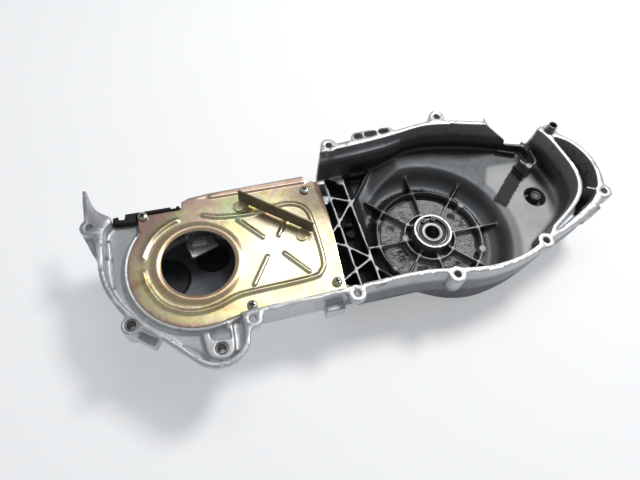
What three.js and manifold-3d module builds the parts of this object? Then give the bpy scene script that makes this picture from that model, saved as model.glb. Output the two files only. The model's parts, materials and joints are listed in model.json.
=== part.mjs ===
// Belt-case cover of a scooter's continuously variable transmission.
//
// Working frame while modelling: the origin is where the bearing axis meets the mating face,
// +X runs from the fan inlet towards the clutch bearing and on to the rear outlet,
// +Z points out of the open side. The finished group is moved so that its origin is the
// middle of the footprint, at the height of the surface the cover lies on.
import * as THREE from 'three';
import { mergeVertices } from 'three/addons/utils/BufferGeometryUtils.js';
import Module from 'manifold-3d';

// ---- driving dimensions, in millimetres -------------------------------------------------
const GAP = 0.3;                // clearance between pieces that touch
const OPEN = 1;                 // cuts from above start this much over the mating face
const FLANGE_DEPTH = 5;         // height of the machined flange band
const WALL_INSET = [0.995, 0.985, 1];   // the walls below the flange are drawn in from its edge
const RIB = 2.4;                // rib thickness

const CASE_BOTTOM = -76;        // outer faces that the cover lies on, under the fan and the dome
const LEFT_BOTTOM = -66;        // underside beneath the duct and the truss
const BODY_BOTTOM = -44.5;      // underside of the case away from the fan and the dome
const DOME = [22, 0];           // middle of the dome under the clutch well

const FAN = [-240, 0];          // axis of the fan inlet
const FAN_CHAMBER_RADIUS = 53;
const PLATE_TOP = -6;           // upper face of the air-duct plate
const PLATE_THICKNESS = 1.2;
const PLATE_SEAT = PLATE_TOP - PLATE_THICKNESS - GAP;
const PLATE_RADIUS = 62;
const BEAD = 1.4;               // height of the beads pressed in the plate
const SEAT_RADIUS = 65.5;       // raised rim round the plate's seat
const INLET_RADIUS = 33;
const COLLAR_RADIUS = 41;       // outer edge of the collar drawn up round the inlet

const SURROUND_FLOOR = -11;     // shelf between the flange and the plate's seat
const GROOVE_FLOOR = -14;       // groove along the inside of the front flange
const SHELF_BOTTOM = -17.5;
const DUCT_FLOOR = -54;
const GRID_TOP = -47;           // tops of the truss ribs
const GRID_FLOOR = -62;
const LEFT_FLOOR = -52;         // chamber floor between the truss and the well
const REAR_FLOOR = -40;         // floor between the well and the outlet chamber
const OUTLET_FLOOR = -40.5;
const LOW_WALL_TOP = -30;       // lowered stretch of the wall above the outlet
const HOOK_TOP = -24.5;         // hooked partition on the rear floor
const PLUG_SEAT = -53;

const WELL_FLOOR = -57;
const WELL_FLOOR_RADIUS = 70;
const WELL_RIM_RADIUS = 88;
const SPOKE_TOP = -46;
const SPOKE_COUNT = 8;
const RING_RIB_RADIUS = 57;
const INNER_RING_RADIUS = 27.5;
const CAST_PAD_TOP = -54;

const BOSS_TOP = -35;           // bearing boss
const BOSS_RADIUS = 20.5;
const BEARING = { outside: 35, bore: 15, width: 11, balls: 8, ball: 5.9 };
const BEARING_TOP = BOSS_TOP - 2.6;

const EAR_RADIUS = 8.6;
const EAR_BOLT = 6.6;           // clearance hole for an M6 bolt
const DOWEL = { outside: 10, bore: 7.6 };
const SCREW_HOLE = 2.3;         // radius of the plate screws' threads

// ---- solid helpers ----------------------------------------------------------------------
const wasm = await Module();
wasm.setup();

function toSolid(geometry) {
  const bare = geometry.index ? geometry.toNonIndexed() : geometry.clone();
  bare.deleteAttribute('normal');
  bare.deleteAttribute('uv');
  const merged = mergeVertices(bare, 1e-4);
  return new wasm.Manifold(new wasm.Mesh({
    numProp: 3,
    vertProperties: new Float32Array(merged.attributes.position.array),
    triVerts: new Uint32Array(merged.index.array),
  }));
}

function toGeometry(solid) {
  const mesh = solid.getMesh();
  const geometry = new THREE.BufferGeometry();
  geometry.setAttribute('position', new THREE.BufferAttribute(new Float32Array(mesh.vertProperties), 3));
  geometry.setIndex(new THREE.BufferAttribute(new Uint32Array(mesh.triVerts), 1));
  return geometry;
}

// A solid across the whole width, from a closed outline of [x, z] between two values of y.
function slab(profile, y0, y1) {
  const geometry = new THREE.ExtrudeGeometry(outline(profile), { depth: y1 - y0, bevelEnabled: false });
  return toSolid(geometry.rotateX(Math.PI / 2).translate(0, y1, 0));
}

const joined = (solids) => solids.reduce((sum, next) => sum.add(next));

// A closed outline from a list of points; a nested list is a smooth stretch through its points.
function outline(stretches) {
  const points = [];
  for (const stretch of stretches) {
    if (Array.isArray(stretch[0])) {
      const curve = new THREE.SplineCurve(stretch.map(([x, y]) => new THREE.Vector2(x, y)));
      points.push(...curve.getPoints((stretch.length - 1) * 2));
    } else {
      points.push(new THREE.Vector2(...stretch));
    }
  }
  return new THREE.Shape(points);
}

// An arc as points, for use inside an outline.
function arc([x, y], radius, fromDegrees, toDegrees, steps) {
  return Array.from({ length: steps + 1 }, (_, i) => {
    const angle = THREE.MathUtils.degToRad(fromDegrees + (toDegrees - fromDegrees) * i / steps);
    return [x + radius * Math.cos(angle), y + radius * Math.sin(angle)];
  });
}

function prism(shape, bottom, top, segments = 12) {
  const geometry = new THREE.ExtrudeGeometry(shape, {
    depth: top - bottom, bevelEnabled: false, curveSegments: segments,
  });
  return toSolid(geometry.translate(0, 0, bottom));
}

function rod([x, y], radius, bottom, top, segments = 20) {
  const geometry = new THREE.CylinderGeometry(radius, radius, top - bottom, segments);
  geometry.rotateX(Math.PI / 2).translate(x, y, (top + bottom) / 2);
  return toSolid(geometry);
}

function block([x0, y0], [x1, y1], bottom, top) {
  const geometry = new THREE.BoxGeometry(Math.abs(x1 - x0), Math.abs(y1 - y0), top - bottom);
  return toSolid(geometry.translate((x0 + x1) / 2, (y0 + y1) / 2, (top + bottom) / 2));
}

// A body of revolution about a vertical axis; the profile is a closed list of [radius, z].
function turned([x, y], profile, segments = 48) {
  const points = profile.map(([radius, z]) => new THREE.Vector2(radius, z));
  const geometry = new THREE.LatheGeometry([...points, points[0]], segments);
  return toSolid(geometry.rotateX(Math.PI / 2).translate(x, y, 0));
}

const tube = (centre, outer, inner, bottom, top, segments = 32) =>
  turned(centre, [[inner, bottom], [outer, bottom], [outer, top], [inner, top]], segments);

// A straight rib of the given width between two points.
function rib([x0, y0], [x1, y1], bottom, top, width = RIB) {
  const length = Math.hypot(x1 - x0, y1 - y0);
  const geometry = new THREE.BoxGeometry(length, width, top - bottom);
  geometry.rotateZ(Math.atan2(y1 - y0, x1 - x0));
  return toSolid(geometry.translate((x0 + x1) / 2, (y0 + y1) / 2, (top + bottom) / 2));
}

// A wall that follows a smooth line.
function wall(points, width, bottom, top, steps = 3) {
  const curve = new THREE.SplineCurve(points.map(([x, y]) => new THREE.Vector2(x, y)));
  const count = (points.length - 1) * steps;
  const left = [];
  const right = [];
  for (let i = 0; i <= count; i += 1) {
    const point = curve.getPoint(i / count);
    const tangent = curve.getTangent(i / count);
    const side = new THREE.Vector2(-tangent.y, tangent.x).multiplyScalar(width / 2);
    left.push(point.clone().add(side));
    right.unshift(point.clone().sub(side));
  }
  return prism(new THREE.Shape([...left, ...right]), bottom, top);
}

const polar = (radius, degrees) => [
  radius * Math.cos(THREE.MathUtils.degToRad(degrees)), radius * Math.sin(THREE.MathUtils.degToRad(degrees)),
];

// A solid along the length, from a closed outline of [y, z] between two values of x.
function beam(profile, x0, x1) {
  const geometry = new THREE.ExtrudeGeometry(outline(profile), { depth: x1 - x0, bevelEnabled: false });
  return toSolid(geometry.rotateX(Math.PI / 2).rotateZ(Math.PI / 2).translate(x0, 0, 0));
}

// ---- the casting: outlines, as [x, y] ---------------------------------------------------
const EARS = [
  { at: [-330, 53], depth: 16 }, { at: [-302, -49], depth: 22, dowel: true }, { at: [-203.3, -66], depth: 7 },
  { at: [-108.5, -63.5], depth: 7 }, { at: [-11, -66], depth: 22 }, { at: [91, -51], depth: 16 },
  { at: [182, -9.5], depth: 14 }, { at: [163, 78.5], depth: 30, dowel: true }, { at: [41, 121], depth: 22 },
  { at: [-89, 104], depth: 22 },
];
const BULGE = [-234, -74];
const BULGE_RADIUS = 27.7;
const BULGE_BORE = [-233.4, -82.8];
const PLATE_SCREWS = [[-283.3, 57.8], [-126.8, 57], [-122.2, -47], [-201.2, -52.2]];
const FLOOR_HOLE = [134.5, 20];

// The wall's outer edge below and above the clutch well, from the truss round the rear end.
const lowerEdge = [[-188, -62], [-120, -60.5], [[-60, -59], [-32, -60.5], [-4, -65.5], [22, -69.5],
  [45, -68.5], [65, -65], [85, -58.5], [105, -49.5], [125, -42.5], [150, -33], [172, -22], [184, -8],
  [190.5, 8], [193, 26], [190.5, 43], [184, 57], [174, 69], [160, 83]]];
const upperEdge = [[[150, 88], [124, 95], [96, 104]], [86, 106], [60, 112], [[30, 116.5], [12, 114.5],
  [-14, 110.5], [-40, 108], [-70, 106]], [-97, 103]];

// The flange as seen from above.
const coverOutline = outline([
  [-308, 58], [[-317, 65], [-323, 70.5], [-327.5, 81]], [-331, 94.5], [-334, 94.5], [-334.5, 80],
  [-334, 62], [-336, 52], [-330, 46], [[-326, 40], [-325, 25], [-325, 10], [-322.5, -8], [-316, -24],
    [-307, -40], [-295, -55], [-283, -64], [-270, -76], [-257, -90]],
  ...arc(BULGE, BULGE_RADIUS, 226, 332, 12), [-207.5, -78], [-203, -71], [-196, -65],
  ...lowerEdge, ...upperEdge, [-101, 97], [-101, 72], [-240, 70], [-250, 60],
]);

// The shelf that carries the front flange is set in below it.
const shelfOutline = outline([
  [-310, 60], [-316, 56], [[-321, 48], [-321.8, 28], [-322.3, 8], [-319.8, -9], [-312.5, -26], [-303.3, -40.5],
    [-292, -52.5], [-279.5, -64], [-265.5, -79]],
  ...arc(BULGE, BULGE_RADIUS - 3, 228, 335, 10), [-207.5, -66], [-198, -58], [-188, -56], [-188, 64],
  [-250, 64],
]);

// The sunk surface between the front flange and the plate's seat.
const surroundOutline = outline([
  [-248, 80], [-311, 80], [-311, 54], [[-317, 48], [-319.5, 28], [-320, 8], [-317.5, -8], [-310, -25],
    [-301, -38], [-290, -50], [-277, -62], [-263, -77], [-252, -89]],
  ...arc(BULGE, BULGE_RADIUS - 5.2, 232, 335, 10), [-210, -66], [-214, -50],
]);

// Inner edge of the flange round the belt chamber, down to the rear floor.
const chamberOutline = outline([
  [-196, -57], [-120, -55.8], [[-60, -54], [-32, -55.5], [-4, -60.3], [22, -63.8], [45, -62.8],
    [63, -59.5], [80, -53.5], [98, -45]],
  [[106, -36.5], [129, -23], [146, -10.5], [156, 1.5], [161, 14], [162, 30], [159.5, 48], [156, 66],
    [150, 80]], [[140, 84], [122, 89.5], [92, 99]], [[60, 106.5], [28, 110.5], [8, 109], [-14, 105],
    [-40, 101.5], [-70, 98.5]], [-104, 96], [-104, 66], [-196, 64],
]);

// The passage outside the inner wall at the rear end.
const outletOutline = outline([
  [[100, -45.5], [112, -42], [136, -31], [162, -18], [175, -6], [181, 3], [186.5, 18], [187, 33],
    [182.5, 48], [175, 60], [163, 69]],
  [[161.5, 64], [164.3, 48], [167, 30], [166, 13], [160.5, -1.5], [149, -14.5], [132, -26.5], [112, -38]],
]);

// The sheet-metal plate, with its upturned lip at the top.
const plateOutline = outline([
  [-288, 57], [-288, 43], ...arc(FAN, PLATE_RADIUS, 139, 283, 30), [-212, -57.8], [-190, -56.2],
  [-117, -55], [-111.5, 2], [-112, 25], [-117.7, 66], [-125, 68.5], [-125, 73.5], [-219.5, 71.5],
  [-239.6, 70.4], [-246.6, 67.2], [-247.6, 59.4], [-285, 59.4],
]);

// Pad round the bore in the bulge, and the window beside it.
const bulgePadOutline = outline([
  [-248, -60], [[-247, -70], [-246.3, -80], [-243.5, -88], [-234, -92.5], [-226, -90.5], [-222.6, -84],
    [-221.8, -74]], [-221, -60],
]);
const bulgeWindow = outline([[-241, -66], [-229, -64.6], [-223.8, -69], [-223.8, -76.5], [-228, -75.5],
  [-238, -74.5], [-241, -72]]);

// ---- the casting: bodies ----------------------------------------------------------------
// Walls, flange, dome and fan housing, still without their chambers.
function shell() {
  const beltOutline = outline([[-250, -54], [-214, -60], [-188, -61.2], ...lowerEdge.slice(1),
    ...upperEdge, [-101, 97], [-101, 69], [-238, 68], [-250, 56]]);
  const wallBody = (bottom, top) => prism(beltOutline, bottom, top)
    .translate([190, 60, 0]).scale(WALL_INSET).translate([-190, -60, 0]);
  const draft = (shift, x0, x1) => beam([
    [-75, -34], [-58.6 + shift, -34], [-58 + shift, -36], [-50 + shift, -58],
    [-47 + shift, LEFT_BOTTOM], [-47 + shift, -90], [-75, -90],
  ], x0, x1);
  const dome = turned(DOME, [
    [0, CASE_BOTTOM], [60, CASE_BOTTOM], [63, CASE_BOTTOM + 2], [73.5, -58],
    [82, BODY_BOTTOM - 3], [82, REAR_FLOOR], [0, REAR_FLOOR],
  ]);
  const domeRecess = turned(DOME, [
    [0, CASE_BOTTOM - 1], [55.5, CASE_BOTTOM - 1], [52, WELL_FLOOR - 5], [0, WELL_FLOOR - 5],
  ]);
  const underside = joined([
    domeRecess.subtract(rod([0, 0], 24, CASE_BOTTOM - 2, WELL_FLOOR, 36)),
    turned(FAN, [[0, CASE_BOTTOM - 1], [51, CASE_BOTTOM - 1], [48, -61.5], [0, -61.5]]),
    block([-196, -38], [-104, 56], LEFT_BOTTOM - 1, DUCT_FLOOR - 4.5),
    block([-66, -38], [-34, 60], LEFT_BOTTOM - 1, WELL_FLOOR - 4.5).subtract(dome),
  ]);
  return joined([
    wallBody(BODY_BOTTOM, -FLANGE_DEPTH),
    wallBody(LEFT_BOTTOM, BODY_BOTTOM).intersect(joined([
      block([-300, -90], [-20, 120], LEFT_BOTTOM, BODY_BOTTOM),
      block([-30, 0], [15, 120], LEFT_BOTTOM, BODY_BOTTOM),
    ])),
    rod(FLOOR_HOLE, 16, BODY_BOTTOM - 10, REAR_FLOOR, 24),
  ]).subtract(joined([draft(0, -260, -95), draft(-4, -95, -15)])).add(joined([
    prism(coverOutline, -FLANGE_DEPTH, 0),
    prism(shelfOutline, SHELF_BOTTOM, -FLANGE_DEPTH),
    dome.intersect(wallBody(CASE_BOTTOM, -39)),
    turned(FAN, [[0, CASE_BOTTOM], [55, CASE_BOTTOM], [59, CASE_BOTTOM + 5], [63, CASE_BOTTOM + 17],
      [SEAT_RADIUS, SHELF_BOTTOM], [SEAT_RADIUS, PLATE_SEAT], [0, PLATE_SEAT]]),
    rod([-233, -76], 12, -32, -FLANGE_DEPTH, 24),
  ])).subtract(underside);
}

// The chambers, cut from above.
function bigPockets() {
  const well = turned([0, 0], [[0, WELL_FLOOR], [WELL_FLOOR_RADIUS, WELL_FLOOR],
    [WELL_FLOOR_RADIUS + 7, WELL_FLOOR + 4], [WELL_RIM_RADIUS - 5, REAR_FLOOR - 4],
    [WELL_RIM_RADIUS, REAR_FLOOR], [WELL_RIM_RADIUS, REAR_FLOOR + 1], [0, REAR_FLOOR + 1]], 56);
  const leftFloor = [[-104, LEFT_FLOOR], [-46, LEFT_FLOOR], [-8, REAR_FLOOR], [-8, OPEN], [-104, OPEN]];
  const insideChamber = prism(chamberOutline, GRID_FLOOR, OPEN);
  const innerDraft = beam([[-70, -34], [-54.5, -34], [-46.5, -57], [-44, -80], [-70, -80]], -250, 0);
  return joined([
    rod(FAN, FAN_CHAMBER_RADIUS, -56, OPEN, 48),
    rod(FAN, 58.5, -56, -13, 48),
    rod([-227, 30], 17.3, -59, -56, 32),
    rod([-275, 14], 23.5, -59, -56, 32).intersect(rod(FAN, FAN_CHAMBER_RADIUS, -60, 0, 48)),
    block([-240, -51.8], [-100, 61.8], DUCT_FLOOR, OPEN),
    insideChamber.intersect(block([-104, -70], [200, 120], REAR_FLOOR, OPEN)),
    slab(leftFloor, -80, 120).intersect(insideChamber),
    prism(outletOutline, OUTLET_FLOOR, OPEN),
    block([-104, -54.5], [-69, 96], GRID_FLOOR, OPEN),
    prism(outline([[-69.5, 96], [-69.5, 60], [-39, 96]]), GRID_FLOOR, REAR_FLOOR),
    prism(outline([[-69.5, -24], [-69.5, -54], [-40, -54]]), GRID_FLOOR, REAR_FLOOR),
    well.intersect(block([-69, -200], [200, 200], GRID_FLOOR, OPEN)).intersect(insideChamber),
  ]).subtract(innerDraft);
}

// Grooves and pockets that follow the inside of the front flange and its bulge.
function frontGrooves() {
  const leftGroove = outline([[-318, 47], [[-319.5, 28], [-320, 8], [-317.5, -8]], [-313.5, -8],
    [[-314.5, 8], [-314.2, 24], [-314.8, 40]]]);
  const bulgeGroove = outline([[[-272, -66], [-263, -77], [-252, -89]],
    ...arc(BULGE, BULGE_RADIUS - 5.2, 232, 345, 10), [-212, -66], [-214.5, -60], [-219, -60],
    [[-220, -74], [-221, -84], [-225, -91], [-234, -94.5], [-244.5, -91], [-250, -82]]]);
  const sideRidges = [
    wall([[-218, -62], [-217.6, -70], [-218.7, -77], [-221, -87]], 1.6, GROOVE_FLOOR - 1, -8),
    wall([[-214.4, -64], [-214.2, -72], [-215.4, -80], [-219, -88]], 1.6, GROOVE_FLOOR - 1, -6),
  ];
  const cuts = joined([prism(leftGroove, GROOVE_FLOOR, OPEN), prism(bulgeGroove, GROOVE_FLOOR, OPEN)]);
  return cuts.subtract(joined(sideRidges));
}

// Where the plate lies: the recess for it, a land at its corner and the raised rim round it.
function plateSeat() {
  const recess = outline([[-196, -57], [-120, -56], [-100, -56], [-100, 90], [-248, 90], [-248, 40],
    [-230, 0], [-214, -57.9]]);
  const land = block([-288.6, 30], [-246, 59.3], SHELF_BOTTOM, PLATE_SEAT)
    .subtract(rod(FAN, FAN_CHAMBER_RADIUS, -60, 0, 48));
  const rim = tube(FAN, SEAT_RADIUS, PLATE_RADIUS + 0.6, SHELF_BOTTOM, PLATE_TOP + 0.6, 48);
  const rimKept = rim.intersect(block([-310, -70], [-226, 38], SHELF_BOTTOM, OPEN));
  const ring = tube(FAN, SEAT_RADIUS, 50, SHELF_BOTTOM, PLATE_SEAT, 48)
    .intersect(block([-310, -70], [-170, 59.2], -80, OPEN));
  return { recess: prism(recess, PLATE_SEAT, OPEN), land, ring, rim: rimKept };
}

// Truss of ribs between the duct and the clutch well.
function trussRibs() {
  const bottom = GRID_FLOOR - 1;
  const members = [
    [[-93, 98], [-88.5, -56]], [[-72.5, 99], [-68.5, -56]],
    [[-100, 98], [-92, 97]], [[-92, 97], [-75, 88.5]], [[-100, 73], [-91, 69.5]], [[-91, 69.5], [-72, 61]],
    [[-71.5, 60], [-90, 37.5]], [[-90, 37.5], [-112, 17]], [[-71, 57], [-35, 100]],
    [[-114, 21], [-90, 7]], [[-90, 7], [-70, -11]], [[-70, -11], [-90, -21]], [[-90, -21], [-112, -33]],
    [[-108, -31], [-97, -42]], [[-69, -21], [-34, -56]],
  ];
  const inside = beam([[-56, OPEN], [-56, -34], [-46.5, -58], [-43, -80], [100, -80], [100, OPEN]], -120, 0);
  return joined([
    ...members.map(([from, to]) => rib(from, to, bottom, GRID_TOP)),
    rod([-75, 88.5], 5, bottom, GRID_TOP + 0.6, 16),
    rod([-80, 25], 4.8, bottom, -56, 20),
    block([-84, 33], [-76, 37], bottom, -53),
  ]).intersect(inside);
}

// Spokes, rings and pads on the floor of the clutch well, with the bearing boss in the middle.
function wellRibs() {
  const bottom = WELL_FLOOR - 1;
  const step = 360 / SPOKE_COUNT;
  const spokes = Array.from({ length: SPOKE_COUNT }, (_, i) =>
    rib(polar(18, i * step), polar(79, i * step), bottom, SPOKE_TOP, 2.2));
  const castPads = Array.from({ length: SPOKE_COUNT }, (_, i) => {
    const from = i * step + 4.5;
    const to = (i + 1) * step - 4.5;
    return prism(outline([...arc([0, 0], 51.5, from, to, 5), ...arc([0, 0], 31, to, from, 3)]),
      bottom, CAST_PAD_TOP);
  });
  const ringPads = [31.8, 150.2, 209.7, -27.8].map((degrees) =>
    rod(polar(RING_RIB_RADIUS, degrees), 4.2, bottom, SPOKE_TOP + 0.6, 16));
  const inWell = joined([
    ...spokes, ...castPads, ...ringPads,
    tube([0, 0], RING_RIB_RADIUS + 1.2, RING_RIB_RADIUS - 1.2, bottom, SPOKE_TOP, 48),
    tube([0, 0], INNER_RING_RADIUS + 1.1, INNER_RING_RADIUS - 1.1, bottom, SPOKE_TOP, 32),
    rod(polar(INNER_RING_RADIUS, 174), 4.2, bottom, SPOKE_TOP + 0.6, 16),
  ]).intersect(block([-69, -66], [90, 90], bottom, OPEN)
    .subtract(block([-69, -66], [-30, -51.5], bottom - 1, OPEN + 1)));
  return inWell.add(rod([0, 0], BOSS_RADIUS, bottom, BOSS_TOP, 48));
}

// The bearing's seat with its clip groove, and the holes through the well's floor pads.
function wellHoles() {
  const seatBottom = BEARING_TOP - BEARING.width - GAP;
  return joined([
    rod([0, 0], BEARING.outside / 2 + GAP, seatBottom, OPEN, 48),
    rod([0, 0], 12.5, seatBottom - 6, OPEN, 32),
    tube([0, 0], BEARING.outside / 2 + 1.5, 16, BEARING_TOP + GAP, BEARING_TOP + 2.1, 48),
    ...[150.2, 31.5].map((degrees) => rod(polar(42.3, degrees), 4.8, WELL_FLOOR - 3.5, SPOKE_TOP - 4)),
    wall([[-24, -31.5], [-12, -35.5]], 8.6, WELL_FLOOR - 3.5, SPOKE_TOP - 4),
  ]);
}

// Guides standing on the chamber floors: in the fan housing, at the rear end and in the outlet.
function floorGuides() {
  const bottom = REAR_FLOOR - 1;
  const fanBracket = joined([
    prism(outline([
      [-250, 42], [-249, 27], [-245.5, 17.5], [-232, 22.5], [-218.5, 27.5], [-226, 40],
    ]), -33, -30),
    block([-243.5, 32.5], [-230.5, 38], -34, -26),
    rib([-249, 34], [-245.5, 18.5], -33, -28.5, 2),
    rod([-237, 41], 5, -60, -29),
    wall([[-250, 42], [-244, 47], [-236, 49], [-226, 46]], 3, -57, -28),
  ]);
  return joined([
    fanBracket,
    wall([
      [147, 90], [147.2, 76], [147.5, 64], [146, 56.5], [141, 52.6], [135.5, 51.6],
    ], 2.6, bottom, HOOK_TOP),
    rod([135, 51.8], 4.4, bottom, HOOK_TOP + 0.6, 16),
    wall([[133.5, 53.5], [130, 57], [128.5, 62.5]], 2.4, bottom, HOOK_TOP),
    rib([114.5, 85.5], [134.5, 77.5], bottom, LOW_WALL_TOP - 3, 2),
    wall([[144, -17], [139, -24], [130, -31], [113, -39.5], [101, -46]], 2, OUTLET_FLOOR - 1, -4),
    rib([177, -6], [166, -1], OUTLET_FLOOR - 1, -1, 2),
  ]);
}

// Lugs and pads on the outside of the walls.
function outerLugs() {
  const slots = [
    [[-59.5, 106], [-50, 106.6], [-50, 114], [-58.5, 114]],
    [[-47.3, 107], [-33.5, 108], [-33.5, 114.6], [-47.3, 114.3]],
    [[-30.7, 109], [-19, 110.2], [-19, 115], [-30.7, 115]],
  ];
  const topLug = prism(outline([[-64, 103], [-62, 112], [-58.5, 116], [-19.5, 117], [-15.5, 115],
    [-12, 108]]), -24, 0);
  return joined([
    topLug.subtract(joined(slots.map((points) => prism(outline(points), -14, OPEN)))),
    prism(outline([[-336, 56], [-338, 51], [[-337, 47], [-333.5, 38], [-330, 27.5], [-326, 21]], [-318, 24],
      [-318, 54]]), -20, -7),
    wall([[-297, -55], [-284, -65.5]], 9, -22, -9),
    prism(outline([[90, 101], [93, 106], [98.5, 114.5], [97, 106], [95.5, 99]]), -6, 0.8),
    wall([[-137, -63], [-119, -63]], 14, -30, -15),
    wall([[153, -27], [171, -20]], 12, -24, -6),
  ]);
}

// Bosses for the bolts, standing out from the flange.
function ears() {
  const bosses = EARS.map(({ at, depth }) => rod(at, EAR_RADIUS, -depth, 0, 20));
  return joined([...bosses, prism(bulgePadOutline, SHELF_BOTTOM - 1, PLATE_SEAT - 1)]);
}

// Holes for the bolts, dowels and plate screws, and the openings in the walls.
function earHoles() {
  const holes = EARS.map(({ at, dowel }) => {
    const bolt = rod(at, EAR_BOLT / 2, -40, OPEN, 16);
    return dowel ? bolt.add(rod(at, DOWEL.outside / 2 + GAP, -10, OPEN, 20)) : bolt;
  });
  const bulgeBore = rod(BULGE_BORE, EAR_BOLT / 2, -40, OPEN, 16)
    .add(rod(BULGE_BORE, DOWEL.outside / 2 + GAP, -20, OPEN, 20));
  const window = prism(bulgeWindow, -34, OPEN);
  const screws = PLATE_SCREWS.map((at) => rod(at, SCREW_HOLE + GAP, -20, OPEN, 12));
  const flangeNotch = prism(outline([[50, 103], [54, 104], [57.5, 108], [53, 109]]), -12, OPEN);
  const lowWall = slab([
    [91, OPEN], [121.5, -23], [122.5, LOW_WALL_TOP], [148, LOW_WALL_TOP], [154, OPEN],
  ], 74, 120)
    .subtract(block([149, 60], [160, 84], -60, OPEN));
  return joined([...holes, bulgeBore, window, ...screws, flangeNotch, lowWall,
    rod(FLOOR_HOLE, 12.2, PLUG_SEAT, REAR_FLOOR + 1, 32)]);
}

function coverCasting() {
  const seat = plateSeat();
  const ledge = wall([[-101, 96], [-62, 98], [-26, 102], [-6, 106.5]], 4, REAR_FLOOR - 8, -12);
  const screwBosses = joined(PLATE_SCREWS.map((at) => rod(at, 5.6, -22, PLATE_SEAT, 16)))
    .subtract(block([-300, 59.3], [-250, 70], -30, OPEN));
  const ductWall = block([-104, 62], [-96, 72], GRID_FLOOR - 1, GRID_TOP);
  return shell()
    .subtract(prism(surroundOutline, SURROUND_FLOOR, OPEN).add(frontGrooves()))
    .add(seat.ring)
    .subtract(seat.recess)
    .subtract(bigPockets())
    .add(joined([seat.land, seat.rim, ledge, ductWall, screwBosses, trussRibs(), wellRibs()]))
    .add(joined([floorGuides(), outerLugs(), ears()]))
    .subtract(joined([wellHoles(), earHoles()]));
}

// ---- the other pieces -------------------------------------------------------------------
// Stiffening beads pressed up out of the plate.
function plateBeads() {
  const bottom = PLATE_TOP - PLATE_THICKNESS / 2;
  const panel = [
    [-228, 48], [-215, 43.5], [-190, 41], [-170, 42.5], [-152, 45], [-139, 42.5], [-131, 35], [-128, 20],
    [-128, -20], [-133, -33], [-145, -37.5], [-200, -39], [-215, -41], [-230, -46], [-246, -47.5],
    [-262, -43.5], [-277, -32], [-286, -14], [-288.5, 0],
  ];
  const cross = [[[-197, 36], [-178, 13]], [[-153, 27], [-163, 12]], [[-178, -8], [-195, -33]],
    [[-162, -8], [-144, -31]]];
  return [
    wall(panel, 4, bottom, PLATE_TOP + BEAD, 2),
    wall(arc(FAN, 49.5, 106, 163, 5), 5, bottom, PLATE_TOP + BEAD, 1),
    ...cross.map(([from, to]) => rib(from, to, bottom, PLATE_TOP + BEAD, 3.4)),
  ];
}

// Pressed plate over the fan chamber and the duct.
function airDuctPlate() {
  const inlet = rod(FAN, INLET_RADIUS, PLATE_TOP - 5, PLATE_TOP + 5, 64);
  const holes = PLATE_SCREWS.map((at) => rod(at, 2.7 + GAP, PLATE_TOP - 5, PLATE_TOP + 5, 12));
  const collar = turned(FAN, [
    [INLET_RADIUS, PLATE_TOP - PLATE_THICKNESS], [COLLAR_RADIUS, PLATE_TOP - PLATE_THICKNESS],
    [COLLAR_RADIUS, PLATE_TOP], [COLLAR_RADIUS - 2, PLATE_TOP + 1.6], [INLET_RADIUS + 2.5, PLATE_TOP + 1.8],
    [INLET_RADIUS, PLATE_TOP + 0.6],
  ], 64);
  const lip = block([-219.5, 69.5], [-125, 71.5], PLATE_TOP - PLATE_THICKNESS, PLATE_TOP + 1.2);
  return prism(plateOutline, PLATE_TOP - PLATE_THICKNESS, PLATE_TOP)
    .subtract(joined([inlet, ...holes])).add(joined([collar, lip, ...plateBeads()]));
}

const BRACKET = { from: [-192.6, 57.4], to: [-131.2, 7.9], height: 18.5, sheet: 1.4 };

// Upright strip on two spot-welded feet; it bridges the plate's beads.
function deflectorBracket() {
  const bottom = PLATE_TOP + GAP;
  const clear = PLATE_TOP + BEAD + GAP + 0.2;
  const feet = [{ at: [-194, 51], reach: [-187.4, 53.3] }, { at: [-142, 7], reach: [-136.6, 12.3] }];
  const footSolids = feet.map(({ at, reach }) => joined([
    rod(at, 5.6, bottom, bottom + BRACKET.sheet, 20),
    rib(at, reach, bottom, bottom + BRACKET.sheet, 9),
  ]));
  const [dx, dy] = [0.78, -0.63];
  const necks = feet.map(({ reach: [x, y] }) =>
    rib([x - 4.5 * dx, y - 4.5 * dy], [x + 4.5 * dx, y + 4.5 * dy], bottom, clear + 1, BRACKET.sheet));
  return joined([rib(BRACKET.from, BRACKET.to, clear, bottom + BRACKET.height, BRACKET.sheet),
    ...footSolids, ...necks]);
}

// Rubber block at the corner of the plate.
function ductSeal() {
  const body = outline([[-310.3, 54.6], [-309.6, 60.6], [-305, 61.3], [-304.4, 57.6], [-299.5, 57.4],
    [-298.4, 62.8], [-257, 62.6], [-257, 60.6], [-252, 60.6], [-252, 62.4], [-248.8, 62.4], [-248.8, 59.8],
    [-289.6, 59.8], [-289.6, 52.6], [-300, 53.4]]);
  return prism(body, SURROUND_FLOOR + GAP, PLATE_TOP + 2)
    .subtract(rod(PLATE_SCREWS[0], 5.2, PLATE_TOP, OPEN, 20).add(rod(PLATE_SCREWS[0], 3, -20, OPEN, 12)));
}

// Pan-head screw with a cross recess.
function plateScrew([x, y]) {
  const head = PLATE_TOP + GAP;
  const cross = joined([
    rib([x - 2.4, y], [x + 2.4, y], head + 1.4, head + 5, 1),
    rib([x, y - 2.4], [x, y + 2.4], head + 1.4, head + 5, 1),
  ]);
  return turned([x, y], [
    [0, head - 14], [SCREW_HOLE, head - 14], [SCREW_HOLE, head], [4.6, head], [4.7, head + 1.2],
    [3.4, head + 2.8], [0, head + 3.2],
  ], 16).subtract(cross);
}

function dowel(at, top, length, outside = DOWEL.outside) {
  return tube(at, outside / 2, DOWEL.bore / 2, top - length, top, 24);
}

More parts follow.
